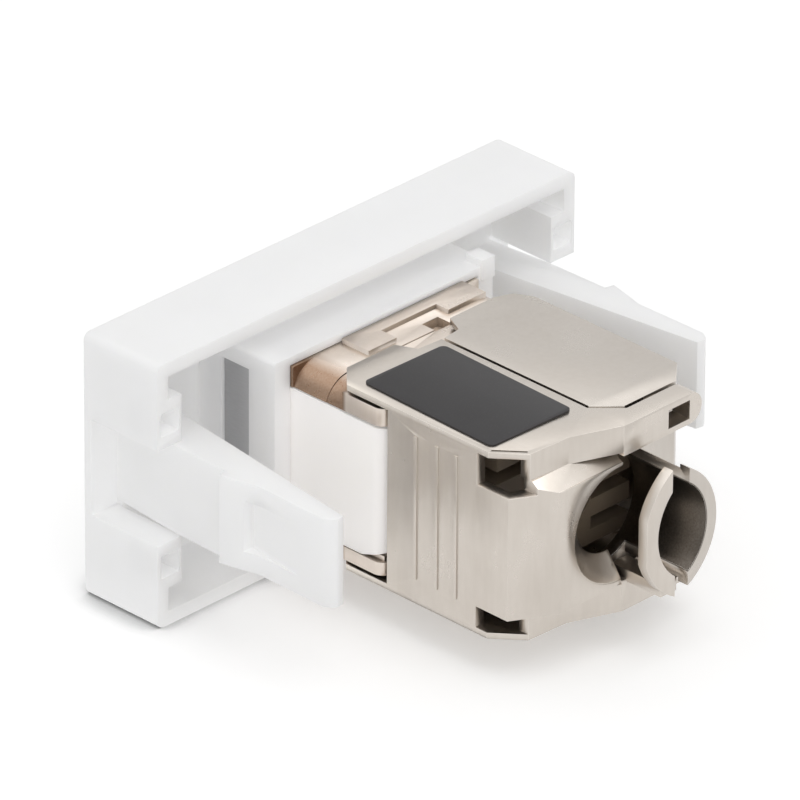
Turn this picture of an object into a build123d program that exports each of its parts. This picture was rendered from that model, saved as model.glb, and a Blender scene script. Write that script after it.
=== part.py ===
"""Half-size wall insert that holds a shielded, toolless data jack on its side.

Millimetres, +Z up. x runs along the long side of the insert, the front face of the insert
looks toward -y and the cable leaves toward +y. The origin is the middle of the bottom face of
the bounding box. Depths are counted from the front face toward the cable end.
"""
import os

from build123d import *

os.makedirs("parts", exist_ok=True)

# Overall sizes: the insert is the half module of the 45 mm wiring system
plate_length = 45.0
plate_height = 22.5
depth_total = 39.0
front_y = -depth_total / 2
half_length = plate_length / 2
axis_z = plate_height / 2

# Half the jack's length across the port; everything that hugs the jack follows it
body_half = 10.0

# Plate, rim and sleeve of the holder
plate_thickness = 1.6
rim_depth = 8.0
rim_wall = 1.2
rim_round = 0.7
sleeve_half = body_half + 1.75
sleeve_height = 16.1
sleeve_depth = 9.7
sleeve_play = 0.1
sleeve_window = (4.0, 6.95)
sleeve_window_margin = 1.45
sleeve_window_skin = 0.35
clip_front = 2.5
clip_thickness = 0.25

# Snap arms of the holder
arm_height = 7.5
arm_end_depth = 24.4
arm_root_inset = 2.7
arm_root_inner = 6.5
arm_end_inset = 1.95
arm_end_inner = 3.4
arm_pocket_span = (2.1, 8.0)
arm_pocket_margin = 1.6
arm_pocket_floor = 0.75
tooth_depth = 13.4
tooth_proud = 0.75
notch_floor = 0.95
notch_play = 0.35
boss_reach = 2.6
boss_height = 3.95
pocket_size = 1.9
pocket_depth = 3.0

# Metal front housing of the jack
housing_height = 14.5
housing_front_part = 9.9
housing_step_depth = 13.3
edge_round = 0.6
housing_step = 0.1
housing_roll = 2.5
housing_rear = 15.4
cheek_rear = 19.5
housing_wall = 1.0
nose_half = body_half - 1.9
nose_front = 0.3
nose_depth = 3.0
port_half_height = 5.95
port_low_x = -4.3
port_high_x = 3.9
latch_front = 5.0
latch_drop = 6.05
latch_round = 1.3
latch_heel = (2.4, 0.8)
latch_rise = 5.5
latch_play = 0.1
top_bar_depth = 12.65
top_bar_height = 0.4
top_pocket = (-3.4, -1.7)
top_pocket_front = 12.0

# Wings that close over the wires
wing_height = 15.9
wing_wall = 0.9
cover_thickness = 0.5
wing_gap = 0.3
seam_x = -0.3
wing_front = 13.7
wing_side_front = 19.9
wing_side_rear = 30.4
rear_corner = (body_half - 2.0, 32.8)
rear_flat_x = 4.1
rear_flat_depth = 33.0
rear_block_depth = 34.7
rear_wall_thickness = 1.0
band_height = 2.3
strap_height = 2.6
strap_inner_depth = 32.9
strap_end_x = 1.5 - body_half
middle_rise = 4.75
middle_drop = 5.65
middle_corner_depth = 32.5
middle_rear_x = body_half - 3.6
middle_rear_depth = 34.5
mouth_radius = 4.9
mouth_z = axis_z - 0.4
throat_radius = 3.3
throat_depth = 33.1
collar_inner = 4.6
collar_outer = 5.4
flange_outer = 5.7
flange_width = 1.0
collar_cut_x = -2.7
jaw_centre_x = -4.4
jaw_inner = 4.8
jaw_outer = 6.3
jaw_width = 0.9
jaw_inset = 0.2
jaw_low_x = -1.1
jaw_high_x = 1.6
jaw_foot_x = -1.5
shelf_x = (-2.3, -0.6)
shelf_height = 1.0
shelf_rise = 2.4
shelf_root = 0.2
strap_window_x = (2.8 - body_half, 5.1 - body_half)
strap_window_rise = (0.55, 2.15)
wing_nose_x = (3.0, body_half - 1.9)
wing_nose_root = (2.2, 15.4)
wing_shoulder = 15.6
strap_root_x = -0.2
far_corner = (2.1 - body_half, 30.7)
far_rear_gap = 0.4
rib_depths = (22.9, 25.1, 27.1)
rib_proud = 0.15
rib_half = 0.17
slit_inset = 0.25
slit_width = 0.22
corner_window_x = 8.15
corner_window_depth = 29.2

# Hinge pins of the wings
hinge_x = body_half - 1.4
hinge_depth = 16.4
pin_radius = 0.6
pin_running = 0.06
pin_seat = 0.02
pin_reach = 0.25
pin_end_play = 0.07
pin_seat_length = 1.15
cheek_reach_in = 3.2
cheek_height = 1.5
latch_skin = 0.45

# Inner pieces
inner_half_x = body_half - 2.8
inner_half_z = 5.65
board_front = 13.9
board_thickness = 1.0
block_rear = 20.4
guide_front = 20.6
guide_rear = 28.6
contact_root = 3.1
contact_bend = 4.5
contact_tip = (1.9, 8.6)
contact_leg = 0.4
contact_count = 8
contact_pitch = 1.02
contact_width = 0.42
contact_play = 0.08
terminal_rows = (2.6 - inner_half_x, inner_half_x - 2.6)
terminal_pitch = 2.6
terminal_thickness = 0.4
terminal_tip = 22.0

# Label plate
label_size = (8.4, 13.8)
label_thickness = 0.15
label_place = (body_half - 5.05, 23.3)
label_turn = -1.5


def at(depth):
    """y of a depth counted from the front face."""
    return front_y + depth


def block(x0, x1, d0, d1, z0, z1):
    """Box between two x, two depths and two heights."""
    centre = ((x0 + x1) / 2, (at(d0) + at(d1)) / 2, (z0 + z1) / 2)
    return Pos(*centre) * Box(abs(x1 - x0), abs(d1 - d0), abs(z1 - z0))


def plan(points, z0, z1):
    """Outline in x and depth, raised from z0 to z1."""
    outline = Polyline([(x, at(d)) for x, d in points] + [(points[0][0], at(points[0][1]))])
    face = make_face(outline)
    return Pos(0, 0, z0) * extrude(face, z1 - z0, dir=(0, 0, 1))


def side_plan(points, x0, x1):
    """Outline in depth and height, drawn out from x0 to x1."""
    corners = [(x0, at(d), z) for d, z in points]
    face = make_face(Polyline(corners + [corners[0]]))
    return extrude(face, x1 - x0, dir=(1, 0, 0))


def rod_y(radius, d0, d1, x=0.0, z=axis_z):
    """Round bar along y."""
    place = Pos(x, (at(d0) + at(d1)) / 2, z) * Rot(90, 0, 0)
    return place * Cylinder(radius, abs(d1 - d0))


def rod_z(radius, x, depth, z0, z1):
    """Round bar along z."""
    return Pos(x, at(depth), (z0 + z1) / 2) * Cylinder(radius, abs(z1 - z0))


def mirrored_z(solid):
    """The same shape upside down about the middle height."""
    return mirror(solid, Plane.XY.offset(axis_z))


def mirrored_x(solid):
    """The same shape at the other end."""
    return mirror(solid, Plane.YZ)


def save(solid, name):
    """One STEP file for one piece."""
    export_step(solid, f"parts/{name}.step")


# Holder: one white moulding of plate, rim, sleeve and two snap arms
sleeve_low = axis_z - sleeve_height / 2
sleeve_high = axis_z + sleeve_height / 2
housing_low = axis_z - housing_height / 2
housing_high = axis_z + housing_height / 2
arm_low = axis_z - arm_height / 2
arm_high = axis_z + arm_height / 2

shell = block(-half_length, half_length, 0, rim_depth, 0, plate_height)
shell = fillet(shell.edges().filter_by(Axis.Y), rim_round)
shell = fillet(shell.faces().sort_by(Axis.Y)[0].edges(), rim_round / 2)
inner_half = half_length - rim_wall
shell -= block(-inner_half, inner_half, plate_thickness, rim_depth + 1, rim_wall, plate_height - rim_wall)

boss_inner = half_length - boss_reach
boss_low = arm_high + notch_play
boss = block(boss_inner, half_length - 0.3, 1.0, rim_depth, boss_low, boss_low + boss_height)
pocket_mid_x = half_length - boss_reach / 2 - 0.05
pocket_mid_z = boss_low + boss_height / 2
pocket = block(pocket_mid_x - pocket_size / 2, pocket_mid_x + pocket_size / 2,
               rim_depth - pocket_depth, rim_depth + 1,
               pocket_mid_z - pocket_size / 2, pocket_mid_z + pocket_size / 2)
for turn_z in (False, True):
    for turn_x in (False, True):
        boss_here = mirrored_z(boss) if turn_z else boss
        pocket_here = mirrored_z(pocket) if turn_z else pocket
        boss_here = mirrored_x(boss_here) if turn_x else boss_here
        pocket_here = mirrored_x(pocket_here) if turn_x else pocket_here
        shell = shell + boss_here - pocket_here

sleeve = block(-sleeve_half, sleeve_half, 1.0, sleeve_depth, sleeve_low, sleeve_high)
sleeve = fillet(sleeve.edges().filter_by(Axis.Y), 0.35)
post = block(-sleeve_half + 0.05, -body_half - 0.35, sleeve_depth - 1.5, sleeve_depth + 0.25,
             sleeve_high - 1.2, sleeve_high + 0.6)
holder = shell + sleeve + post
room_half = body_half + sleeve_play
room_low = housing_low - sleeve_play
room_high = housing_high + sleeve_play
holder -= block(-room_half, room_half, nose_depth - 0.15, sleeve_depth + 2, room_low, room_high)
holder -= block(-nose_half - sleeve_play, nose_half + sleeve_play, -1, nose_depth, room_low, room_high)
for side in (1, -1):
    holder -= block(side * (sleeve_half - 2.4), side * (sleeve_half + 0.5), sleeve_window[0],
                    sleeve_window[1], sleeve_low + sleeve_window_margin,
                    sleeve_high - sleeve_window_margin)
    holder -= block(side * (room_half - 0.2), side * (sleeve_half - sleeve_window_skin),
                    clip_front - sleeve_play, sleeve_window[1],
                    sleeve_low + sleeve_window_margin, sleeve_high - sleeve_window_margin)
    holder -= block(side * (half_length - arm_root_inset), side * (half_length + 1), notch_floor,
                    rim_depth + 1, arm_low - notch_play, arm_high + notch_play)

arm_outline = [
    (half_length - arm_root_inset, notch_floor - 0.2),
    (half_length - arm_end_inset - 0.15, rim_depth),
    (half_length - arm_end_inset - 0.05, tooth_depth - 0.2),
    (half_length - arm_end_inset + tooth_proud, tooth_depth),
    (half_length - arm_end_inset + tooth_proud - 0.15, tooth_depth + 0.7),
    (half_length - arm_end_inset - 0.1, tooth_depth + 3.5),
    (half_length - arm_end_inset, arm_end_depth - 0.9),
    (half_length - arm_end_inset - 0.35, arm_end_depth - 0.25),
    (half_length - arm_end_inset - 0.75, arm_end_depth),
    (half_length - arm_end_inner, arm_end_depth - 0.1),
    (half_length - arm_root_inner, notch_floor - 0.2),
]
arm = plan(arm_outline, arm_low, arm_high)
arm_face = half_length - arm_end_inset
arm_pocket_front = tooth_depth + arm_pocket_span[0]
arm_pocket_rear = tooth_depth + arm_pocket_span[1]
arm_pocket = plan([
    (arm_face - arm_pocket_floor, arm_pocket_front), (half_length, arm_pocket_front),
    (half_length, arm_pocket_rear), (arm_face, arm_pocket_rear),
], arm_low + arm_pocket_margin, arm_high - arm_pocket_margin)
arm = arm - arm_pocket
holder = holder + arm + mirrored_x(arm)
save(holder, "holder_frame")

# Side clip: a thin steel plate on the jack, seen in the near window of the sleeve
side_clip = block(body_half, body_half + clip_thickness, clip_front, sleeve_window[1] - sleeve_play,
                  sleeve_low + sleeve_window_margin + sleeve_play,
                  sleeve_high - sleeve_window_margin - sleeve_play)
save(side_clip, "side_clip")


def rolled(d0, d1, z0, z1):
    """Length of the housing with rolled upper edges and small lower ones."""
    length = block(-body_half, body_half, d0, d1, z0, z1)
    upper = length.edges().filter_by(Axis.Y).group_by(Axis.Z)[-1]
    length = fillet(upper, housing_roll)
    lower = length.edges().filter_by(Axis.Y).group_by(Axis.Z)[0]
    return fillet(lower, edge_round)


# Front housing: a nickelled casting around the port, with cheeks that carry the hinge pins
low_step = housing_low + housing_step
high_step = housing_high - housing_step
housing = block(-body_half, body_half, nose_depth, housing_front_part, housing_low, housing_high)
housing = fillet(housing.edges().filter_by(Axis.Y), 0.15)
housing += rolled(housing_front_part - 0.5, housing_step_depth, housing_low, housing_high)
housing += rolled(housing_step_depth - 0.5, housing_rear, low_step, high_step)
nose = block(-nose_half, nose_half, nose_front, nose_depth + 1, housing_low, housing_high)
housing += fillet(nose.edges().filter_by(Axis.Y), edge_round)
cheek = block(body_half - cheek_reach_in, body_half, housing_rear - 0.3, cheek_rear,
              high_step - cheek_height, high_step)
cheek = fillet(cheek.edges().filter_by(Axis.Z).sort_by(Axis.Y)[-1], 1.0)
for piece in (cheek, mirrored_z(cheek), mirrored_x(cheek), mirrored_x(mirrored_z(cheek))):
    housing += piece
hollow_half_x = inner_half_x + 0.15
hollow_half_z = inner_half_z + 0.15
housing -= block(-hollow_half_x, hollow_half_x, nose_front + housing_wall, cheek_rear + 1,
                 axis_z - hollow_half_z, axis_z + hollow_half_z)
housing -= block(port_low_x, port_high_x, -1, nose_depth, axis_z - port_half_height + 0.4,
                 axis_z + port_half_height - 0.4)
latch_low = axis_z - latch_drop
latch_high = axis_z + latch_rise
housing -= block(inner_half_x, body_half + 1, latch_front, cheek_rear + 1, latch_low, latch_high)
cheek_outer = body_half - latch_skin - latch_play
housing += block(hollow_half_x, cheek_outer, housing_rear - 0.5, cheek_rear - 0.4,
                 low_step, low_step + cheek_height)
for side in (1, -1):
    for high in (False, True):
        bore = rod_z(pin_radius + pin_seat, side * hinge_x, hinge_depth, high_step - 2, high_step + 1)
        housing -= bore if high else mirrored_z(bore)
bar_front = sleeve_depth + sleeve_play
top_bars = [(1.7, 4.7, top_bar_depth), (-4.3, 1.75, top_bar_depth - 1.65),
            (-8.3, -4.25, top_bar_depth - 0.35)]
for bar_low_x, bar_high_x, bar_rear in top_bars:
    housing += block(bar_low_x, bar_high_x, bar_front, bar_rear, housing_high - 0.2,
                     housing_high + top_bar_height)
housing -= block(top_pocket[0], top_pocket[1], top_pocket_front, housing_step_depth + 0.1,
                 housing_high - 0.8, housing_high + 1)
save(housing, "jack_housing")

# Latch block: ivory plastic in the near side of the housing
latch = block(inner_half_x + 0.35, body_half, latch_front + latch_play, cheek_rear + 0.1,
              latch_low + latch_play, latch_high - latch_play)
latch = fillet(latch.edges().filter_by(Axis.Z).group_by(Axis.Y)[-1].sort_by(Axis.X)[-1], latch_round)
latch_end = cheek_rear + 0.1
latch -= side_plan([(latch_end - latch_heel[0], latch_low), (latch_end + 1, latch_low),
                    (latch_end + 1, latch_low + latch_play + latch_heel[1]),
                    (latch_end, latch_low + latch_play + latch_heel[1]),
                    (latch_end - latch_heel[0], latch_low + latch_play)], inner_half_x, body_half + 1)
latch -= block(inner_half_x, body_half - latch_skin, housing_rear - 0.6, cheek_rear + 1,
               latch_low - 1, low_step + cheek_height + latch_play)
save(latch, "latch_block")

# Contact carrier with the port room and one slot for each contact
carrier_front = nose_front + housing_wall + 0.1
carrier = block(-inner_half_x, inner_half_x, carrier_front, board_front,
                axis_z - inner_half_z, axis_z + inner_half_z)
room_height = port_half_height - 0.55
carrier -= block(port_low_x + 0.15, port_high_x, carrier_front - 1, board_front - 1.5, axis_z - room_height,
                 axis_z + room_height)
leg_low = port_high_x + 0.25
leg_high = leg_low + contact_leg
contact_z = []
for index in range(contact_count):
    contact_z.append(axis_z + (index - (contact_count - 1) / 2) * contact_pitch)
for z in contact_z:
    carrier -= block(port_high_x - 0.5, leg_high + contact_play, 3.0, board_front + 1,
                     z - contact_width / 2 - contact_play, z + contact_width / 2 + contact_play)
save(carrier, "contact_carrier")

# Eight sprung port contacts: a leg along the roof, then a blade that slants into the room
for index, z in enumerate(contact_z):
    outline = [(leg_high, board_front), (leg_high, contact_root), (leg_low + 0.05, contact_root),
               contact_tip, (contact_tip[0] + 0.3, contact_tip[1] + 0.25), (leg_low, contact_bend),
               (leg_low, board_front)]
    save(plan(outline, z - contact_width / 2, z + contact_width / 2), f"port_contact_{index + 1}")

# Circuit board between the port contacts and the wire terminals
board = block(-inner_half_x + 0.1, inner_half_x - 0.1, board_front, board_front + board_thickness,
              axis_z - inner_half_z + 0.1, axis_z + inner_half_z - 0.1)
save(board, "circuit_board")

# Terminal block with eight slotted wire terminals in two rows
board_rear = board_front + board_thickness
terminal_block = block(-inner_half_x, inner_half_x, board_rear, block_rear,
                       axis_z - inner_half_z, axis_z + inner_half_z)
terminal_half = 1.0
terminal_index = 0
tip_rooms = []
for row_x in terminal_rows:
    for step in range(4):
        z = axis_z + (step - 1.5) * terminal_pitch
        slot_half = terminal_half + contact_play
        slot_high = terminal_thickness / 2 + contact_play
        terminal_block -= block(row_x - slot_half, row_x + slot_half, board_rear - 1, block_rear + 1,
                                z - slot_high, z + slot_high)
        terminal = block(row_x - terminal_half, row_x + terminal_half, board_rear, terminal_tip,
                         z - terminal_thickness / 2, z + terminal_thickness / 2)
        terminal -= block(row_x - 0.18, row_x + 0.18, 18.6, terminal_tip + 1,
                          z - terminal_thickness, z + terminal_thickness)
        terminal_index += 1
        save(terminal, f"wire_terminal_{terminal_index}")
        tip_rooms.append(block(row_x - slot_half - 0.1, row_x + slot_half + 0.1, guide_front - 1,
                               terminal_tip + 0.4, z - slot_high - 0.1, z + slot_high + 0.1))
save(terminal_block, "terminal_block")

# Wire guide: takes the cable core and presses the wires onto the terminals
guide = block(-inner_half_x, inner_half_x, guide_front, guide_rear, axis_z - inner_half_z,
              axis_z + inner_half_z)
for room in tip_rooms:
    guide -= room
guide -= rod_y(3.4, terminal_tip + 1.2, guide_rear + 1)
for side in (1, -1):
    for level in (-3.9, -1.3, 1.3, 3.9):
        guide -= block(side * 3.0, side * (inner_half_x + 1), terminal_tip + 1.6, guide_rear + 1,
                       axis_z + level - 0.55, axis_z + level + 0.55)
save(guide, "wire_guide")

# Hinge pins: four short pins in the cheeks
wing_low = axis_z - wing_height / 2
wing_high = axis_z + wing_height / 2
pins = []
for side in (1, -1):
    pin = rod_z(pin_radius, side * hinge_x, hinge_depth, high_step - pin_seat_length,
                wing_high - cover_thickness + pin_reach)
    pins.append(pin)
    pins.append(mirrored_z(pin))
save(Compound(children=pins), "hinge_pins")

# Near wing: carries the label, the straps and the hooked jaw of the cable clamp
left_edge = seam_x + wing_gap / 2
right_edge = seam_x - wing_gap / 2
strap_inner_x = strap_window_x[0]
left_cover = [
    (left_edge, wing_shoulder), wing_nose_root, (wing_nose_x[0], wing_front),
    (wing_nose_x[1], wing_front), (body_half, wing_shoulder), (body_half, wing_side_rear),
    rear_corner, (rear_flat_x, rear_flat_depth), (strap_root_x, rear_block_depth),
    (strap_inner_x, rear_block_depth), (strap_inner_x, strap_inner_depth),
    (-2.25, strap_inner_depth), (left_edge, strap_inner_depth - 2.25 - left_edge),
]
near_wing = plan(left_cover, wing_high - cover_thickness, wing_high)
near_wing += mirrored_z(near_wing)
band = plan([
    rear_corner, (rear_flat_x, rear_flat_depth), (strap_root_x, rear_block_depth),
    (strap_root_x, rear_block_depth - rear_wall_thickness),
    (rear_flat_x - 0.1, rear_flat_depth - rear_wall_thickness),
    (rear_corner[0], rear_corner[1] - rear_wall_thickness),
], wing_high - band_height, wing_high)
near_wing = near_wing + band + mirrored_z(band)
near_wing += block(body_half - wing_wall, body_half, wing_side_front, corner_window_depth,
                   wing_low, wing_high)

# Prouder middle block of the near wing, with the funnel mouth for the cable
middle_low = axis_z - middle_drop
middle_high = axis_z + middle_rise
middle_outer = [(body_half, wing_side_front), (body_half, middle_corner_depth),
                (middle_rear_x, middle_rear_depth), (strap_root_x, middle_rear_depth)]
middle_inner = [(strap_root_x, rear_flat_depth), (middle_rear_x - 0.9, rear_flat_depth),
                (body_half - wing_wall, middle_corner_depth - 0.6),
                (body_half - wing_wall, wing_side_front)]
near_wing += plan(middle_outer + middle_inner, middle_low, middle_high)
ledge_front = rear_flat_depth - rear_wall_thickness + 0.2
ledge = side_plan([
    (ledge_front, wing_high - band_height + 0.05), (rear_flat_depth, wing_high - band_height + 0.05),
    (middle_rear_depth - 0.1, middle_high), (middle_rear_depth - 0.1, middle_high - 0.1),
    (ledge_front, middle_high - 0.1),
], strap_root_x, rear_corner[0])
inside_middle = plan(middle_outer + [(strap_root_x, wing_side_front)], middle_low, wing_high)
near_wing += ledge & inside_middle

strap = block(strap_root_x + 0.1, strap_end_x, strap_inner_depth, rear_block_depth,
              wing_high - strap_height, wing_high)
strap = fillet(strap.edges().filter_by(Axis.Y).group_by(Axis.X)[0], strap_height / 2 - 0.05)
strap_window = block(strap_window_x[0], strap_window_x[1], strap_inner_depth - 1, rear_block_depth + 1,
                     wing_high - strap_window_rise[1], wing_high - strap_window_rise[0])
strap -= strap_window
near_wing = near_wing + strap + mirrored_z(strap)
throat = rod_y(throat_radius, guide_rear, throat_depth + 0.05)
mouth_small = Pos(0, at(throat_depth), axis_z) * Rot(90, 0, 0) * Circle(throat_radius)
mouth_wide = Pos(0, at(middle_rear_depth), mouth_z) * Rot(90, 0, 0) * Circle(mouth_radius)
mouth = loft([mouth_small, mouth_wide])
mouth_end = rod_y(mouth_radius, middle_rear_depth - 0.05, rear_block_depth + 0.5, 0, mouth_z)
near_wing = near_wing - throat - mouth - mouth_end
for depth in rib_depths:
    near_wing += block(body_half - 0.1, body_half + rib_proud, depth - rib_half, depth + rib_half,
                       wing_low + strap_window_rise[1], wing_high - 1.55)
jaw_rear = depth_total - jaw_inset
jaw_front = jaw_rear - jaw_width
jaw = rod_y(jaw_outer, jaw_front, jaw_rear, jaw_centre_x)
jaw -= rod_y(jaw_inner, jaw_front - 1, jaw_rear + 1, jaw_centre_x)
jaw_upper = jaw & block(jaw_low_x, jaw_high_x, jaw_front - 1, jaw_rear + 1, axis_z, plate_height)
jaw_lower = jaw & block(jaw_foot_x, jaw_high_x, jaw_front - 1, jaw_rear + 1, 0, axis_z)
jaw = jaw_upper + jaw_lower
shelf_low = wing_low + shelf_rise
shelf = block(shelf_x[0], shelf_x[1], strap_inner_depth + shelf_root, jaw_front + 0.3, shelf_low,
              shelf_low + shelf_height)
near_wing = near_wing + jaw + shelf
bore_low = wing_high - cover_thickness - 1
bore_high = wing_high - cover_thickness + pin_reach + pin_end_play
for high in (True, False):
    bore = rod_z(pin_radius + pin_running, hinge_x, hinge_depth, bore_low, bore_high)
    near_wing -= bore if high else mirrored_z(bore)
slit_x = (body_half + rear_corner[0]) / 2 - slit_inset
slit_depth = (wing_side_rear + rear_corner[1]) / 2 - slit_inset
slit = Pos(slit_x, at(slit_depth), wing_high) * Rot(0, 0, 40) * Box(slit_width, 2.7, cover_thickness)
near_wing -= slit
save(near_wing, "near_wing")

# Far wing: eight-sided cover, rear wall and the half collar of the cable clamp
far_rear = strap_inner_depth - far_rear_gap
far_wall_front = far_rear - 1.0
right_cover = [
    (right_edge, wing_shoulder), (-wing_nose_root[0], wing_nose_root[1]),
    (-wing_nose_x[0], wing_front),
    (2.4 - body_half, wing_front), (0.8 - body_half, wing_front + 0.6),
    (-body_half, wing_shoulder + 0.2),
    (-body_half, far_corner[1]), (far_corner[0], far_rear + 0.05), (-2.35, far_rear + 0.05),
    (right_edge, far_rear - 1.85),
]
far_wing = plan(right_cover, wing_high - cover_thickness, wing_high)
far_wing += mirrored_z(far_wing)
far_wall = plan([
    (-body_half, far_corner[1]), (far_corner[0], far_rear), (right_edge, far_rear),
    (right_edge, far_wall_front), (far_corner[0] + 0.4, far_wall_front),
    (-body_half + wing_wall, far_corner[1] - 0.6),
], wing_low + 0.2, wing_high - 0.2)
corner_cut = plan([(right_edge + 1, far_rear - 2.5), (right_edge, far_rear - 1.95), (-2.3, far_rear),
                   (-2.3, far_rear + 1.5), (1, far_rear + 1.5)],
                  wing_high - wing_wall - 0.3, wing_high + 1)
far_wall = far_wall - corner_cut - mirrored_z(corner_cut)
far_wing += far_wall
far_wing += block(-body_half, -body_half + wing_wall, wing_side_front, far_corner[1], wing_low, wing_high)
collar = rod_y(collar_outer, far_wall_front, depth_total)
collar += rod_y(flange_outer, depth_total - flange_width, depth_total)
collar &= block(-body_half, collar_cut_x, far_wall_front - 1, depth_total + 1, 0, plate_height)
far_wing += collar
far_wing -= rod_y(collar_inner, guide_rear, depth_total + 2)
nub = plan([(strap_window_x[1] - 0.2, far_rear - 0.1), (strap_window_x[1] - 0.2, strap_inner_depth + 0.2),
            (strap_window_x[0] + 0.1, far_rear), (strap_window_x[0] + 0.1, far_rear - 0.1)],
           wing_high - 2.0, wing_high - wing_wall)
far_wing = far_wing + nub + mirrored_z(nub)
for high in (True, False):
    bore = rod_z(pin_radius + pin_running, -hinge_x, hinge_depth, bore_low, bore_high)
    far_wing -= bore if high else mirrored_z(bore)
save(far_wing, "far_wing")

# Label plate: a bare dark plate on the near wing
label = Box(label_size[0], label_size[1], label_thickness)
label = fillet(label.edges().filter_by(Axis.Z), 0.5)
label_height = wing_high + label_thickness / 2
label = Pos(label_place[0], at(label_place[1]), label_height) * Rot(0, 0, label_turn) * label
save(label, "label_plate")
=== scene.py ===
"""Looks of a half-size wall insert that holds a shielded data jack on its side.

The white insert stands on its long edge. The jack lies in its sleeve with the port hidden at the
front, and two nickelled wings close over the wires behind it. Everything is in metres, in the
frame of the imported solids: +Z up, +Y toward the cable end, +X toward the end nearest the camera.
"""

import logging
import math
from dataclasses import dataclass, field
from enum import Enum
from typing import Iterable, Optional, Union

import bpy
from mathutils import Matrix, Vector


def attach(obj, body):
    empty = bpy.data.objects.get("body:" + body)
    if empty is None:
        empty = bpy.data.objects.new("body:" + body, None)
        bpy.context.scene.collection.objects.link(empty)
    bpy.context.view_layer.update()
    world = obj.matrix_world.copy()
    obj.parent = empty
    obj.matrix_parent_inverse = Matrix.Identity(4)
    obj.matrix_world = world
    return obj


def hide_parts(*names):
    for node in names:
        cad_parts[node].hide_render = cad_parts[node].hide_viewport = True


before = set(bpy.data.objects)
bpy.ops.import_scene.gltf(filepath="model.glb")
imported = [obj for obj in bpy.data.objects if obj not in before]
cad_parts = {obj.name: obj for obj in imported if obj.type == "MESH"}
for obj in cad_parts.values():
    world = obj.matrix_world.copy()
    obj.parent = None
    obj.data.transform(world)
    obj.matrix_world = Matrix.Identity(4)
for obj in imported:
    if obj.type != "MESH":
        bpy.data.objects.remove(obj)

LOG = logging.getLogger("wall_insert")
MM = 0.001
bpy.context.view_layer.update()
ROUNDED_ABOVE = math.radians(30.0)
SMOOTH_BELOW = math.radians(40.0)
WELD = 0.0005 * MM
BLACK = (0.0, 0.0, 0.0)

Colour = tuple[float, float, float]
Point = tuple[float, float, float]
Span = tuple[float, float]


class Body(Enum):
    """Rigid bodies of the insert."""

    INSERT = "insert"
    NEAR_LEAF = "near_leaf"
    FAR_LEAF = "far_leaf"


# Shader maths


class Signal:
    """One output of a shader node that takes part in Python sums."""

    def __init__(self, bench: "NodeBench", socket: bpy.types.NodeSocket) -> None:
        """Wraps a socket.

        Args:
            bench: The bench that owns the node tree.
            socket: The output socket that carries the value.
        """
        self.bench = bench
        self.socket = socket

    def _maths(self, operation: str, first: "Value", second: "Value") -> "Signal":
        """Adds a Math node.

        Args:
            operation: Blender's name of the operation.
            first: Left value.
            second: Right value.

        Returns:
            The node's result.
        """
        return self.bench.add("ShaderNodeMath", {"operation": operation}, {0: first, 1: second})

    def __add__(self, other: "Value") -> "Signal":
        """Sum of this and another value.

        Args:
            other: The value to add.

        Returns:
            The sum.
        """
        return self._maths("ADD", self, other)

    def __radd__(self, other: "Value") -> "Signal":
        """Sum with a plain number on the left.

        Args:
            other: The number on the left.

        Returns:
            The sum.
        """
        return self._maths("ADD", other, self)

    def __sub__(self, other: "Value") -> "Signal":
        """This less another value.

        Args:
            other: The value to take away.

        Returns:
            The difference.
        """
        return self._maths("SUBTRACT", self, other)

    def __rsub__(self, other: "Value") -> "Signal":
        """A plain number less this.

        Args:
            other: The number on the left.

        Returns:
            The difference.
        """
        return self._maths("SUBTRACT", other, self)

    def __mul__(self, other: "Value") -> "Signal":
        """Product of this and another value.

        Args:
            other: The value to multiply by.

        Returns:
            The product.
        """
        return self._maths("MULTIPLY", self, other)

    def __rmul__(self, other: "Value") -> "Signal":
        """Product with a plain number on the left.

        Args:
            other: The number on the left.

        Returns:
            The product.
        """
        return self._maths("MULTIPLY", other, self)

    def clipped(self, low: float, high: float) -> "Signal":
        """This stretched so that low becomes 0 and high becomes 1, and clipped there.

        Args:
            low: Value that becomes 0.
            high: Value that becomes 1.

        Returns:
            The stretched value.
        """
        return self.bench.add("ShaderNodeMapRange", {"clamp": True},
                              {"Value": self, "From Min": low, "From Max": high})


Value = Union[Signal, float]


def with_alpha(colour: Union[Signal, Colour]) -> Union[Signal, tuple]:
    """Gives a plain colour its alpha.

    Args:
        colour: A colour, or a signal that carries one.

    Returns:
        The colour as a socket takes it, or the signal as it is.
    """
    return colour if isinstance(colour, Signal) else (*colour, 1.0)


class NodeBench:
    """Builds one node tree."""

    def __init__(self, tree: bpy.types.NodeTree) -> None:
        """Empties a node tree.

        Args:
            tree: The tree.
        """
        self.tree = tree
        tree.nodes.clear()

    def add(self, kind: str, settings: Optional[dict] = None, inputs: Optional[dict] = None,
            output: Union[int, str, None] = 0) -> Optional[Signal]:
        """Adds a node with its settings first and its sockets next.

        Args:
            kind: Blender's node type.
            settings: Node properties by name.
            inputs: Socket values or signals by socket name or place.
            output: The output that is wanted, or None for a node that has none.

        Returns:
            The chosen output.
        """
        node = self.tree.nodes.new(kind)
        for key, value in (settings or {}).items():
            setattr(node, key, value)
        for key, value in (inputs or {}).items():
            socket = node.inputs[key]
            if isinstance(value, Signal):
                self.tree.links.new(value.socket, socket)
            else:
                socket.default_value = value
        return None if output is None else Signal(self, node.outputs[output])


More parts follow.
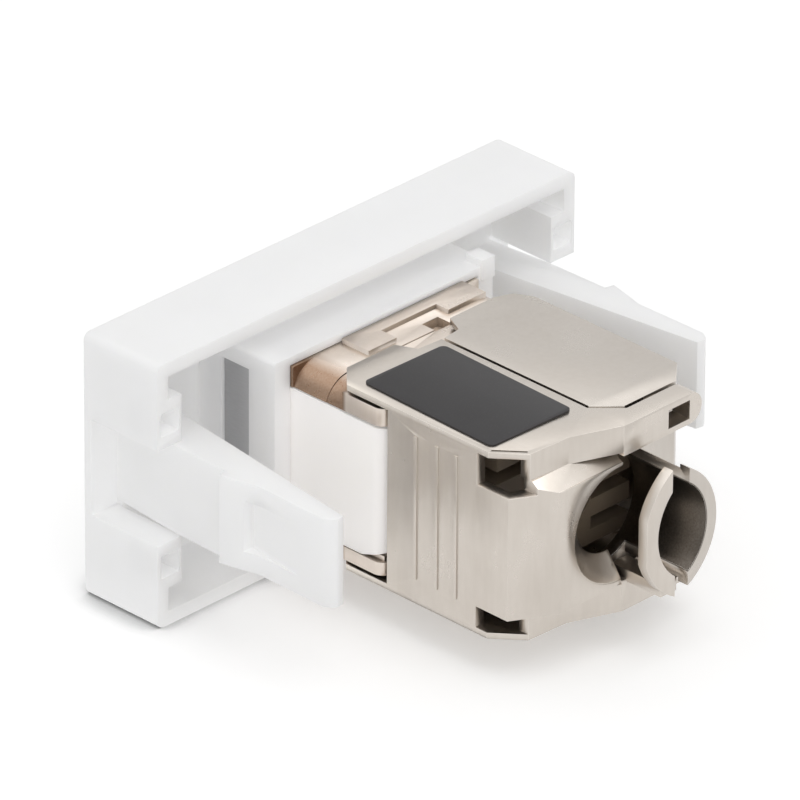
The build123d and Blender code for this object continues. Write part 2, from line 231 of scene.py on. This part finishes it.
class RoomBench(NodeBench):
    """Builds the world's node tree."""

    def __init__(self, name: str) -> None:
        """Starts an empty world and hangs it round the scene.

        Args:
            name: The world's name.
        """
        world = bpy.data.worlds.new(name)
        world.use_nodes = True
        bpy.context.scene.world = world
        super().__init__(world.node_tree)

    def light(self, level: Value) -> None:
        """Closes the tree with white light.

        Args:
            level: How bright the room is.
        """
        glow = self.add("ShaderNodeBackground", {}, {"Color": (1.0, 1.0, 1.0, 1.0), "Strength": level})
        self.add("ShaderNodeOutputWorld", {}, {"Surface": glow}, None)


class FinishBench(NodeBench):
    """Builds one material's node tree."""

    def __init__(self, name: str) -> None:
        """Starts an empty material.

        Args:
            name: The material's name.
        """
        self.material = bpy.data.materials.new(name)
        self.material.use_nodes = True
        super().__init__(self.material.node_tree)

    def place(self, stretch: Point = (1.0, 1.0, 1.0)) -> Signal:
        """Object coordinates, stretched along the axes.

        Args:
            stretch: Factors along x, y and z.

        Returns:
            The coordinates.
        """
        raw = self.add("ShaderNodeTexCoord", output="Object")
        return self.add("ShaderNodeMapping", {}, {"Vector": raw, "Scale": stretch})

    def noise(self, grain: float, detail: float = 2.0, stretch: Point = (1.0, 1.0, 1.0),
              rough: float = 0.5) -> Signal:
        """Noise with a grain of a real size.

        Args:
            grain: Size of one grain in metres.
            detail: Levels of finer noise.
            stretch: Factors along the axes.
            rough: Weight of the finer levels.

        Returns:
            A value near 0.5.
        """
        return self.add("ShaderNodeTexNoise", {},
                        {"Vector": self.place(stretch), "Scale": 1.0 / grain, "Detail": detail,
                         "Roughness": rough})

    def blend(self, factor: Value, first: Union[Signal, Colour], second: Union[Signal, Colour]) -> Signal:
        """Mix of two colours.

        Args:
            factor: Share of the second colour.
            first: First colour.
            second: Second colour.

        Returns:
            The mixed colour.
        """
        return self.add("ShaderNodeMix", {"data_type": "RGBA"},
                        {0: factor, 6: with_alpha(first), 7: with_alpha(second)}, 2)

    def bump(self, height: Signal, depth: float, under: Optional[Signal] = None) -> Signal:
        """Normal of a small relief.

        Args:
            height: Relief from 0 to 1.
            depth: Height of the relief in metres.
            under: A coarser relief that this one lies on.

        Returns:
            The normal.
        """
        inputs = {"Height": height, "Distance": depth, "Strength": 1.0}
        if under is not None:
            inputs["Normal"] = under
        return self.add("ShaderNodeBump", {}, inputs)

    def along(self, axis: str, low: float, high: float) -> Signal:
        """Rises from 0 to 1 between two places along an axis of the object.

        Args:
            axis: X, Y or Z.
            low: Place in metres where it is 0.
            high: Place in metres where it is 1.

        Returns:
            The rising value.
        """
        raw = self.add("ShaderNodeTexCoord", output="Object")
        part = self.add("ShaderNodeSeparateXYZ", {}, {0: raw}, axis)
        return part.clipped(low, high)

    def recess(self, reach: float, closed: float, open_at: float) -> Signal:
        """Share of a recess: 1 where neighbours close a place in, 0 where it lies free.

        Args:
            reach: How far neighbours count, in metres.
            closed: Openness at which it is 1.
            open_at: Openness at which it is 0.

        Returns:
            The share.
        """
        openness = self.add("ShaderNodeAmbientOcclusion", {"samples": 6}, {"Distance": reach}, "AO")
        return 1.0 - openness.clipped(closed, open_at)

    def surface(self, inputs: dict) -> bpy.types.Material:
        """Closes the tree with the surface shader.

        Args:
            inputs: Shader sockets by name.

        Returns:
            The finished material.
        """
        shader = self.add("ShaderNodeBsdfPrincipled", {}, inputs)
        self.add("ShaderNodeOutputMaterial", {}, {"Surface": shader}, None)
        return self.material


@dataclass(frozen=True)
class MouldedPlastic:
    """Injection-moulded plastic with a fine eroded grain, into which light soaks a little way; its
    recesses can be painted lighter with a painted glow, and the whole piece given a steady painted glow.
    """

    name: str
    colour: Colour
    shade: Colour
    roughness: float = 0.42
    grain: float = 0.12 * MM
    grain_depth: float = 0.0035 * MM
    flow: float = 6.0 * MM
    flow_rough: float = 0.06
    grain_rough: float = 0.05
    sink_depth: float = 0.021 * MM
    specular: float = 0.45
    depth_of_light: float = 0.0
    soaked_share: float = 0.6
    # Painted light: a lighter tone and a glow painted into recesses, and a steady glow over the whole
    # piece.
    recess_painted_tone: Optional[Colour] = None
    recess_painted_glow: float = 0.08
    steady_painted_glow: float = 0.0
    recess_reach: float = 6.0 * MM
    recess_closed: float = 0.15
    recess_open: float = 0.85

    def make(self) -> bpy.types.Material:
        """Builds the plastic.

        Returns:
            The material.
        """
        bench = FinishBench(self.name)
        flow = bench.noise(self.flow, 3.0).clipped(0.3, 0.7)
        grain = bench.noise(self.grain, 3.0, rough=0.6)
        sink = bench.noise(self.flow * 0.7, 1.0)
        tone = bench.blend(flow, self.colour, self.shade)
        glow = {}
        # Painted light: recesses painted lighter and made to glow, and the piece glows a little
        # everywhere.
        if self.recess_painted_tone:
            closed = bench.recess(self.recess_reach, self.recess_closed, self.recess_open)
            tone = bench.blend(closed, tone, self.recess_painted_tone)
            steady = tuple(self.steady_painted_glow * part for part in self.recess_painted_tone)
            lifted = tuple(self.recess_painted_glow * part for part in self.recess_painted_tone)
            glow = {"Emission Color": bench.blend(closed, steady, lifted), "Emission Strength": 1.0}
        return bench.surface({
            **glow,
            "Base Color": tone,
            "Roughness": self.roughness + flow * self.flow_rough + (grain - 1.0) * self.grain_rough,
            "Specular IOR Level": self.specular,
            "Subsurface Weight": self.soaked_share if self.depth_of_light else 0.0,
            "Subsurface Radius": (1.0, 1.0, 0.95),
            "Subsurface Scale": self.depth_of_light,
            "Normal": bench.bump(grain, self.grain_depth, bench.bump(sink, self.sink_depth)),
        })


@dataclass(frozen=True)
class NickelledCasting:
    """Satin nickel over a pressure casting: warm grey, softly uneven, with a fine tooth.

    It is painted darker, as shade, where neighbours close it in and inside a bore, and a part can carry
    painted light: a brown painted reflection on the side of the housing's front, and a paler painted
    light on the root of the near wing's side.
    """

    name: str
    colour: Colour
    shade: Colour
    roughness: float = 0.23
    cloud: float = 4.5 * MM
    cloud_share: float = 0.6
    cloud_rough: float = 0.09
    streak: float = 0.5 * MM
    streak_share: float = 0.4
    streak_rough: float = 0.04
    tooth: float = 0.17 * MM
    tooth_share: float = 0.3
    tooth_rough: float = 0.04
    tooth_depth: float = 0.0025 * MM
    ripple: float = 1.6 * MM
    ripple_depth: float = 0.010 * MM
    lay: Point = (1.0, 1.0, 0.16)
    # Painted shade: the dark tone laid into narrow recesses and inside the bore.
    painted_hollow_shade: Colour = (0.045, 0.033, 0.022)
    narrow_reach: float = 1.6 * MM
    narrow_openness: Span = (0.2, 0.6)
    narrow_share: float = 0.75
    bore: float = 0.0
    bore_height: float = 11.25 * MM
    bore_edge: float = 0.05 * MM
    bore_share: float = 0.95
    # Painted reflection: a brown tone on the side of the housing's front.
    painted_flank_reflection: Optional[Colour] = None
    flank_side: Span = (6.9 * MM, 8.6 * MM)
    flank_end: Span = (-4.3 * MM, -4.0 * MM)
    # Painted light: a paler tone on the root of the near wing's side.
    pale: Optional[Colour] = None
    pale_side: Span = (9.3 * MM, 9.9 * MM)
    pale_root: Span = (2.5 * MM, -4.5 * MM)

    def make(self) -> bpy.types.Material:
        """Builds the plated metal.

        Returns:
            The material.
        """
        bench = FinishBench(self.name)
        cloud = bench.noise(self.cloud, 4.0, rough=0.55).clipped(0.32, 0.7)
        streak = bench.noise(self.streak, 3.0, self.lay).clipped(0.35, 0.75)
        tooth = bench.noise(self.tooth, 3.0, rough=0.65)
        ripple = bench.noise(self.ripple, 1.0)
        worn = cloud * self.cloud_share + streak * self.streak_share
        tone = bench.blend(worn, self.colour, self.shade)
        # Painted reflection: a brown tone on the side of the housing's front.
        if self.painted_flank_reflection:
            ahead = 1.0 - bench.along("Y", *self.flank_end)
            rolled = bench.along("X", *self.flank_side) * ahead
            tone = bench.blend(rolled, tone, self.painted_flank_reflection)
        # Painted light on the root of the near wing's side.
        if self.pale:
            rooted = bench.along("Y", *self.pale_root) * bench.along("X", *self.pale_side)
            tone = bench.blend(rooted, tone, self.pale)
        # Painted shade in narrow recesses and inside the bore.
        tone = bench.blend(self.painted_shade_share(bench), tone, self.painted_hollow_shade)
        unevenness = cloud * self.cloud_rough + streak * self.streak_rough + tooth * self.tooth_rough
        return bench.surface({
            "Base Color": bench.blend(tooth * self.tooth_share, tone, self.shade),
            "Metallic": 1.0,
            "Roughness": self.roughness + unevenness,
            "Normal": bench.bump(tooth, self.tooth_depth, bench.bump(ripple, self.ripple_depth)),
        })

    def painted_shade_share(self, bench: FinishBench) -> Signal:
        """Share of painted shade: inside the cable bore and in narrow recesses.

        Args:
            bench: The bench that owns the node tree.

        Returns:
            The share.
        """
        narrow = bench.recess(self.narrow_reach, *self.narrow_openness) * self.narrow_share
        if not self.bore:
            return narrow
        raw = bench.add("ShaderNodeTexCoord", output="Object")
        from_axis = bench.add("ShaderNodeMapping", {}, {
            "Vector": raw, "Location": (0.0, 0.0, -self.bore_height), "Scale": (1.0, 0.0, 1.0)})
        radius = bench.add("ShaderNodeVectorMath", {"operation": "LENGTH"}, {0: from_axis}, "Value")
        inside = 1.0 - radius.clipped(self.bore - self.bore_edge, self.bore)
        return inside * self.bore_share + narrow * (1.0 - inside)


@dataclass(frozen=True)
class PrintedFilm:
    """Thin printed film with a soft sheen."""

    name: str
    colour: Colour
    shade: Colour
    dust: float = 0.06 * MM
    dust_tone: Colour = (0.24, 0.24, 0.24)
    dust_share: float = 0.25
    roughness: float = 0.34
    specular: float = 0.36
    wave: float = 2.4 * MM
    wave_rough: float = 0.08
    wave_depth: float = 0.006 * MM

    def make(self) -> bpy.types.Material:
        """Builds the film.

        Returns:
            The material.
        """
        bench = FinishBench(self.name)
        dust = bench.noise(self.dust).clipped(0.62, 0.8)
        wave = bench.noise(self.wave)
        tone = bench.blend(wave, self.colour, self.shade)
        return bench.surface({
            "Base Color": bench.blend(dust * self.dust_share, tone, self.dust_tone),
            "Roughness": self.roughness + wave * self.wave_rough,
            "Specular IOR Level": self.specular,
            "Normal": bench.bump(wave, self.wave_depth),
        })


@dataclass(frozen=True)
class BrightMetal:
    """Plated contact metal with a drawn lay."""

    name: str
    colour: Colour
    shade: Colour
    roughness: float = 0.18
    grain: float = 0.08 * MM
    grain_rough: float = 0.12
    grain_depth: float = 0.002 * MM
    lay: Point = (1.0, 0.1, 1.0)

    def make(self) -> bpy.types.Material:
        """Builds the metal.

        Returns:
            The material.
        """
        bench = FinishBench(self.name)
        drawn = bench.noise(self.grain, stretch=self.lay)
        return bench.surface({
            "Base Color": bench.blend(drawn, self.colour, self.shade),
            "Metallic": 1.0,
            "Roughness": self.roughness + drawn * self.grain_rough,
            "Normal": bench.bump(drawn, self.grain_depth),
        })


@dataclass(frozen=True)
class LacqueredBoard:
    """Glass-cloth board under a green lacquer."""

    name: str
    colour: Colour = (0.03, 0.17, 0.08)
    thread: Colour = (0.05, 0.24, 0.11)
    weave: float = 0.5 * MM
    weave_depth: float = 0.01 * MM
    weave_rough: float = 0.1
    roughness: float = 0.28

    def make(self) -> bpy.types.Material:
        """Builds the board.

        Returns:
            The material.
        """
        bench = FinishBench(self.name)
        weft, warp = (bench.add("ShaderNodeTexWave", {"bands_direction": way},
                                {"Vector": bench.place(), "Scale": 0.32 / self.weave}) for way in "XZ")
        cloth = weft * 0.5 + warp * 0.5
        return bench.surface({
            "Base Color": bench.blend(cloth, self.colour, self.thread),
            "Roughness": self.roughness + cloth * self.weave_rough,
            "Normal": bench.bump(cloth, self.weave_depth),
        })


class FinishRack:
    """Every finish of the insert, made once."""

    def __init__(self) -> None:
        """Makes the finishes."""
        # The white and ivory mouldings carry painted light: their recesses are painted lighter and glow.
        self.white = MouldedPlastic("white_moulding", (0.92, 0.92, 0.92), (0.9, 0.9, 0.9),
                                    depth_of_light=1.8 * MM, recess_painted_tone=(0.985, 0.985, 0.985)).make()
        # The ivory also glows a little everywhere, a painted light.
        self.ivory = MouldedPlastic("ivory_moulding", (0.98, 0.94, 0.915), (0.965, 0.92, 0.89), 0.36,
                                    depth_of_light=0.9 * MM, recess_painted_tone=(1.0, 0.96, 0.935),
                                    recess_painted_glow=0.1, steady_painted_glow=0.15).make()
        self.carrier = MouldedPlastic("black_moulding", (0.03, 0.03, 0.032), (0.045, 0.045, 0.047)).make()
        self.resin = MouldedPlastic("brown_moulding", (0.055, 0.042, 0.032), (0.085, 0.065, 0.048), 0.3,
                                    flow=3.0 * MM).make()
        # Painted shade: the wire guide is darkened to umber for the shade inside the collar's mouth.
        self.guide = MouldedPlastic("guide_painted_shade", (0.34, 0.27, 0.2), (0.3, 0.235, 0.17), 0.34).make()
        # Painted reflection: a brown tone on the side of the housing's front.
        self.housing = NickelledCasting("warm_nickel", (0.84, 0.755, 0.675), (0.76, 0.67, 0.59),
                                        painted_flank_reflection=(0.29, 0.17, 0.1)).make()
        # Painted light: a paler tone on the root of the near wing's side.
        self.nickel = NickelledCasting("satin_nickel", (0.72, 0.665, 0.605), (0.65, 0.595, 0.535),
                                       pale=(1.0, 0.93, 0.83)).make()
        # Painted shade: dark inside the cable bore.
        self.collar = NickelledCasting("collar_nickel", (0.65, 0.605, 0.555), (0.59, 0.545, 0.495),
                                       bore=4.72 * MM).make()
        # Bevelled edges: worn bright, and partly a painted highlight.
        self.rubbed_highlight = NickelledCasting("rubbed_highlight_nickel", (0.95, 0.92, 0.87), (0.9, 0.86, 0.8), 0.17).make()
        self.steel = BrightMetal("plain_steel", (0.66, 0.66, 0.67), (0.59, 0.59, 0.6), 0.4).make()
        self.film = PrintedFilm("dark_film", (0.021, 0.019, 0.02), (0.031, 0.029, 0.03)).make()
        self.gold = BrightMetal("gold_flash", (0.9, 0.66, 0.28), (0.84, 0.6, 0.25)).make()
        self.tin = BrightMetal("tinned_bronze", (0.8, 0.78, 0.74), (0.72, 0.7, 0.66), 0.3).make()
        self.board = LacqueredBoard("board_lacquer").make()


class EditTable:
    """Short names for the edit-mode work that the pieces share."""

    @staticmethod
    def clear() -> None:
        """Leaves edit mode and deselects every object."""
        if bpy.context.object and bpy.context.object.mode != "OBJECT":
            bpy.ops.object.mode_set(mode="OBJECT")
        bpy.ops.object.select_all(action="DESELECT")

    @classmethod
    def take(cls, piece: bpy.types.Object) -> None:
        """Makes one piece the only one selected.

        Args:
            piece: The piece to work on.
        """
        cls.clear()
        piece.select_set(True)
        bpy.context.view_layer.objects.active = piece

    @classmethod
    def weld(cls, piece: bpy.types.Object) -> None:
        """Joins the points that lie on one another.

        Args:
            piece: The piece.
        """
        cls.take(piece)
        bpy.ops.object.mode_set(mode="EDIT")
        bpy.ops.mesh.select_mode(type="VERT")
        bpy.ops.mesh.select_all(action="SELECT")
        bpy.ops.mesh.remove_doubles(threshold=WELD)
        bpy.ops.object.mode_set(mode="OBJECT")

    @classmethod
    def apply(cls, piece: bpy.types.Object, kind: str, **settings) -> None:
        """Adds one modifier and applies it.

        Args:
            piece: The piece.
            kind: Blender's modifier type.
            **settings: The modifier's properties.
        """
        cls.take(piece)
        modifier = piece.modifiers.new(kind.lower(), kind)
        for key, value in settings.items():
            setattr(modifier, key, value)
        bpy.ops.object.modifier_apply(modifier=modifier.name)

    @classmethod
    def smooth(cls, piece: bpy.types.Object) -> None:
        """Smooths a piece's shading across gentle edges.

        Args:
            piece: The piece.
        """
        cls.take(piece)
        bpy.ops.object.shade_smooth_by_angle(angle=SMOOTH_BELOW)


def paint(piece: bpy.types.Object, *materials: bpy.types.Material) -> None:
    """Gives a piece its materials.

    Args:
        piece: The piece.
        *materials: Its finishes, in slot order.
    """
    piece.data.materials.clear()
    for material in materials:
        piece.data.materials.append(material)


@dataclass
class SubAssembly:
    """A group of pieces that ride on one body."""

    rack: FinishRack
    body: Body
    slot: str
    pieces: list[bpy.types.Object] = field(default_factory=list)

    def keep(self, piece: bpy.types.Object) -> bpy.types.Object:
        """Lets a piece ride on the body and notes it.

        Args:
            piece: The finished piece.

        Returns:
            The piece.
        """
        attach(piece, self.body.value)
        self.pieces.append(piece)
        LOG.info("%s rides on %s", piece.name, self.body.value)
        return piece

    def soft_copy(self, node: str, finishes: Iterable[bpy.types.Material], edge: float,
                  slot: Optional[str] = None) -> bpy.types.Object:
        """Copies a solid, rounds its sharp edges and lets the copy stand for it.

        Args:
            node: The solid's name.
            finishes: Materials: the body's, and if there are two, the rounded edges'.
            edge: Width of the rounding in metres.
            slot: Not used.

        Returns:
            The copy.
        """
        finishes = list(finishes)
        piece = bpy.data.objects.new(f"{node}_skin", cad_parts[node].data.copy())
        bpy.context.collection.objects.link(piece)
        EditTable.weld(piece)
        paint(piece, *finishes)
        for face in piece.data.polygons:
            face.material_index = 0
        EditTable.apply(piece, "BEVEL", width=edge, segments=2, limit_method="ANGLE",
                        angle_limit=ROUNDED_ABOVE, harden_normals=False,
                        material=len(finishes) - 1, miter_outer="MITER_ARC")
        EditTable.smooth(piece)
        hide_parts(node)
        return self.keep(piece)

    def dress(self, node: str, finish: bpy.types.Material) -> None:
        """Gives a solid a finish and leaves its shape alone.

        Args:
            node: The solid's name.
            finish: The material.
        """
        paint(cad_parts[node], finish)
        LOG.info("%s keeps its solid", node)


@dataclass
class Holder(SubAssembly):
    """The white moulding: plate, rim, sleeve and snap arms."""

    edge: float = 0.12 * MM

    def build(self) -> None:
        """Builds the holder."""
        self.soft_copy("holder_frame", [self.rack.white], self.edge)


@dataclass
class JackBody(SubAssembly):
    """The jack's housing and what it holds."""

    contact_count: int = 8
    edge: float = 0.12 * MM
    block_edge: float = 0.25 * MM

    def build(self) -> None:
        """Builds the housing, the latch block and the inner pieces."""
        self.soft_copy("jack_housing", [self.rack.housing, self.rack.rubbed_highlight], self.edge)
        self.soft_copy("latch_block", [self.rack.ivory], self.block_edge, "ivory_plastic")
        self.dress("side_clip", self.rack.steel)
        self.dress("contact_carrier", self.rack.carrier)
        self.dress("terminal_block", self.rack.resin)
        self.dress("circuit_board", self.rack.board)
        self.dress("wire_guide", self.rack.guide)
        self.dress("hinge_pins", self.rack.nickel)
        for number in range(1, self.contact_count + 1):
            self.dress(f"port_contact_{number}", self.rack.gold)
            self.dress(f"wire_terminal_{number}", self.rack.tin)


@dataclass
class NearWing(SubAssembly):
    """The wing with the straps, the hooked jaw and the label."""

    edge: float = 0.1 * MM
    label_edge: float = 0.04 * MM

    def build(self) -> None:
        """Builds the wing and its label."""
        self.soft_copy("near_wing", [self.rack.nickel, self.rack.rubbed_highlight], self.edge)
        self.soft_copy("label_plate", [self.rack.film], self.label_edge, "label_film")


@dataclass
class FarWing(SubAssembly):
    """The wing with the eight-sided cover and the half collar."""

    edge: float = 0.1 * MM

    def build(self) -> None:
        """Builds the wing."""
        self.soft_copy("far_wing", [self.rack.collar, self.rack.rubbed_highlight], self.edge)


@dataclass(frozen=True)
class SoftLamp:
    """A square area lamp that looks at the insert."""

    name: str
    place: Point
    size: float
    power: float

    def hang(self, target: Point) -> None:
        """Hangs the lamp.

        Args:
            target: The place that it looks at.
        """
        data = bpy.data.lights.new(self.name, "AREA")
        data.size = self.size
        data.energy = self.power
        lamp = bpy.data.objects.new(self.name, data)
        bpy.context.collection.objects.link(lamp)
        lamp.location = self.place
        aim = Vector(target) - Vector(self.place)
        lamp.rotation_euler = aim.to_track_quat("-Z", "Y").to_euler()


@dataclass
class Studio:
    """Pale floor, soft light and the camera at the photograph's angle."""

    azimuth: float = 45.62
    elevation: float = 28.71
    roll: float = -0.35
    distance: float = 0.9855
    lens: float = 588.57
    sensor: float = 36.0
    clip: Span = (0.05, 50.0)
    target: Point = (0.00369, -0.0045, 0.01522)
    floor_half: float = 6.0
    floor_colour: Colour = (0.93, 0.93, 0.93)
    floor_lift: float = 0.22
    mirror_lift: float = 0.53
    mirror_share: float = 0.5
    # Painted shadow: how far it reaches, how closed in, and how dark the floor is painted under the
    # insert.
    contact_reach: float = 3.4 * MM
    contact_openness: Span = (0.3, 0.85)
    painted_contact_shadow: Colour = (0.3, 0.3, 0.3)
    room_light: float = 0.76
    room_seen: float = 0.84
    room_crown: float = 0.5
    crown_heights: Span = (0.6, 0.75)
    key: SoftLamp = SoftLamp("key_lamp", (0.05, 0.32, 0.9), 0.6, 1.5)
    fill: SoftLamp = SoftLamp("fill_lamp", (0.82, 0.8, 0.62), 0.8, 0.8)

    def build(self) -> None:
        """Sets the whole stage."""
        self.place_camera()
        self.lay_floor()
        self.light_world()
        self.key.hang(self.target)
        self.fill.hang(self.target)
        bpy.context.scene.view_settings.view_transform = "Standard"

    def place_camera(self) -> None:
        """Puts the camera at the photograph's viewpoint."""
        turn = math.radians(self.azimuth)
        lift = math.radians(self.elevation)
        back = Vector((math.sin(turn) * math.cos(lift), math.cos(turn) * math.cos(lift), math.sin(lift)))
        right = Vector((-math.cos(turn), math.sin(turn), 0.0))
        up = back.cross(right)
        spin = math.radians(self.roll)
        right_rolled = right * math.cos(spin) - up * math.sin(spin)
        up_rolled = right * math.sin(spin) + up * math.cos(spin)
        data = bpy.data.cameras.new("photo_camera")
        data.lens = self.lens
        data.sensor_width = self.sensor
        data.clip_start, data.clip_end = self.clip
        camera = bpy.data.objects.new("photo_camera", data)
        bpy.context.collection.objects.link(camera)
        place = Matrix((right_rolled, up_rolled, back)).transposed().to_4x4()
        place.translation = Vector(self.target) + back * self.distance
        camera.matrix_world = place
        bpy.context.scene.camera = camera

    def lay_floor(self) -> None:
        """Lays a wide pale floor with a painted contact shadow where the insert comes close to it.

        The camera sees it lifted to white, and gloss sees it evenly lit.
        """
        EditTable.clear()
        bpy.ops.mesh.primitive_plane_add(size=2 * self.floor_half, location=(0.0, 0.0, 0.0))
        floor = bpy.context.object
        floor.name = "studio_floor"
        bench = FinishBench("floor_paper")
        seen = bench.add("ShaderNodeLightPath", output="Is Camera Ray")
        mirrored = bench.add("ShaderNodeLightPath", output="Is Glossy Ray")
        # Painted shadow: camera rays see the floor painted darker, and lifted less, where the insert
        # closes it in.
        contact = bench.recess(self.contact_reach, *self.contact_openness) * seen
        lifted = (self.floor_lift,) * 3
        mirror = (self.mirror_lift,) * 3
        half = tuple(self.mirror_share * part for part in self.floor_colour)
        glow = bench.blend(mirrored, bench.blend(seen * (1.0 - contact), BLACK, lifted), mirror)
        paper = bench.blend(mirrored, bench.blend(contact, self.floor_colour, self.painted_contact_shadow), half)
        paint(floor, bench.surface({"Base Color": paper, "Roughness": 0.9, "Specular IOR Level": 0.1,
                                    "Emission Color": glow, "Emission Strength": 1.0}))

    def light_world(self) -> None:
        """Lights the scene from a soft white room, which gloss sees brighter, most of all overhead."""
        bench = RoomBench("white_room")
        gloss = bench.add("ShaderNodeLightPath", output="Is Glossy Ray")
        seen = bench.add("ShaderNodeLightPath", output="Is Camera Ray") + gloss
        ways = bench.add("ShaderNodeTexCoord", output="Generated")
        height = bench.add("ShaderNodeSeparateXYZ", {}, {0: ways}, "Z")
        crown = height.clipped(*self.crown_heights) * self.room_crown
        bench.light(self.room_light + seen * (self.room_seen - self.room_light) + gloss * crown)


def main() -> None:
    """Builds the insert piece by piece, then the studio."""
    logging.basicConfig(level=logging.INFO, format="%(message)s")
    rack = FinishRack()
    groups = [
        Holder(rack, Body.INSERT, "holder_plastic"),
        JackBody(rack, Body.INSERT, "housing_metal"),
        NearWing(rack, Body.NEAR_LEAF, "nickel_casting"),
        FarWing(rack, Body.FAR_LEAF, "nickel_casting"),
    ]
    for group in groups:
        group.build()
        LOG.info("%s: %d new pieces", type(group).__name__, len(group.pieces))
    Studio().build()


if __name__ == "__main__":
    main()
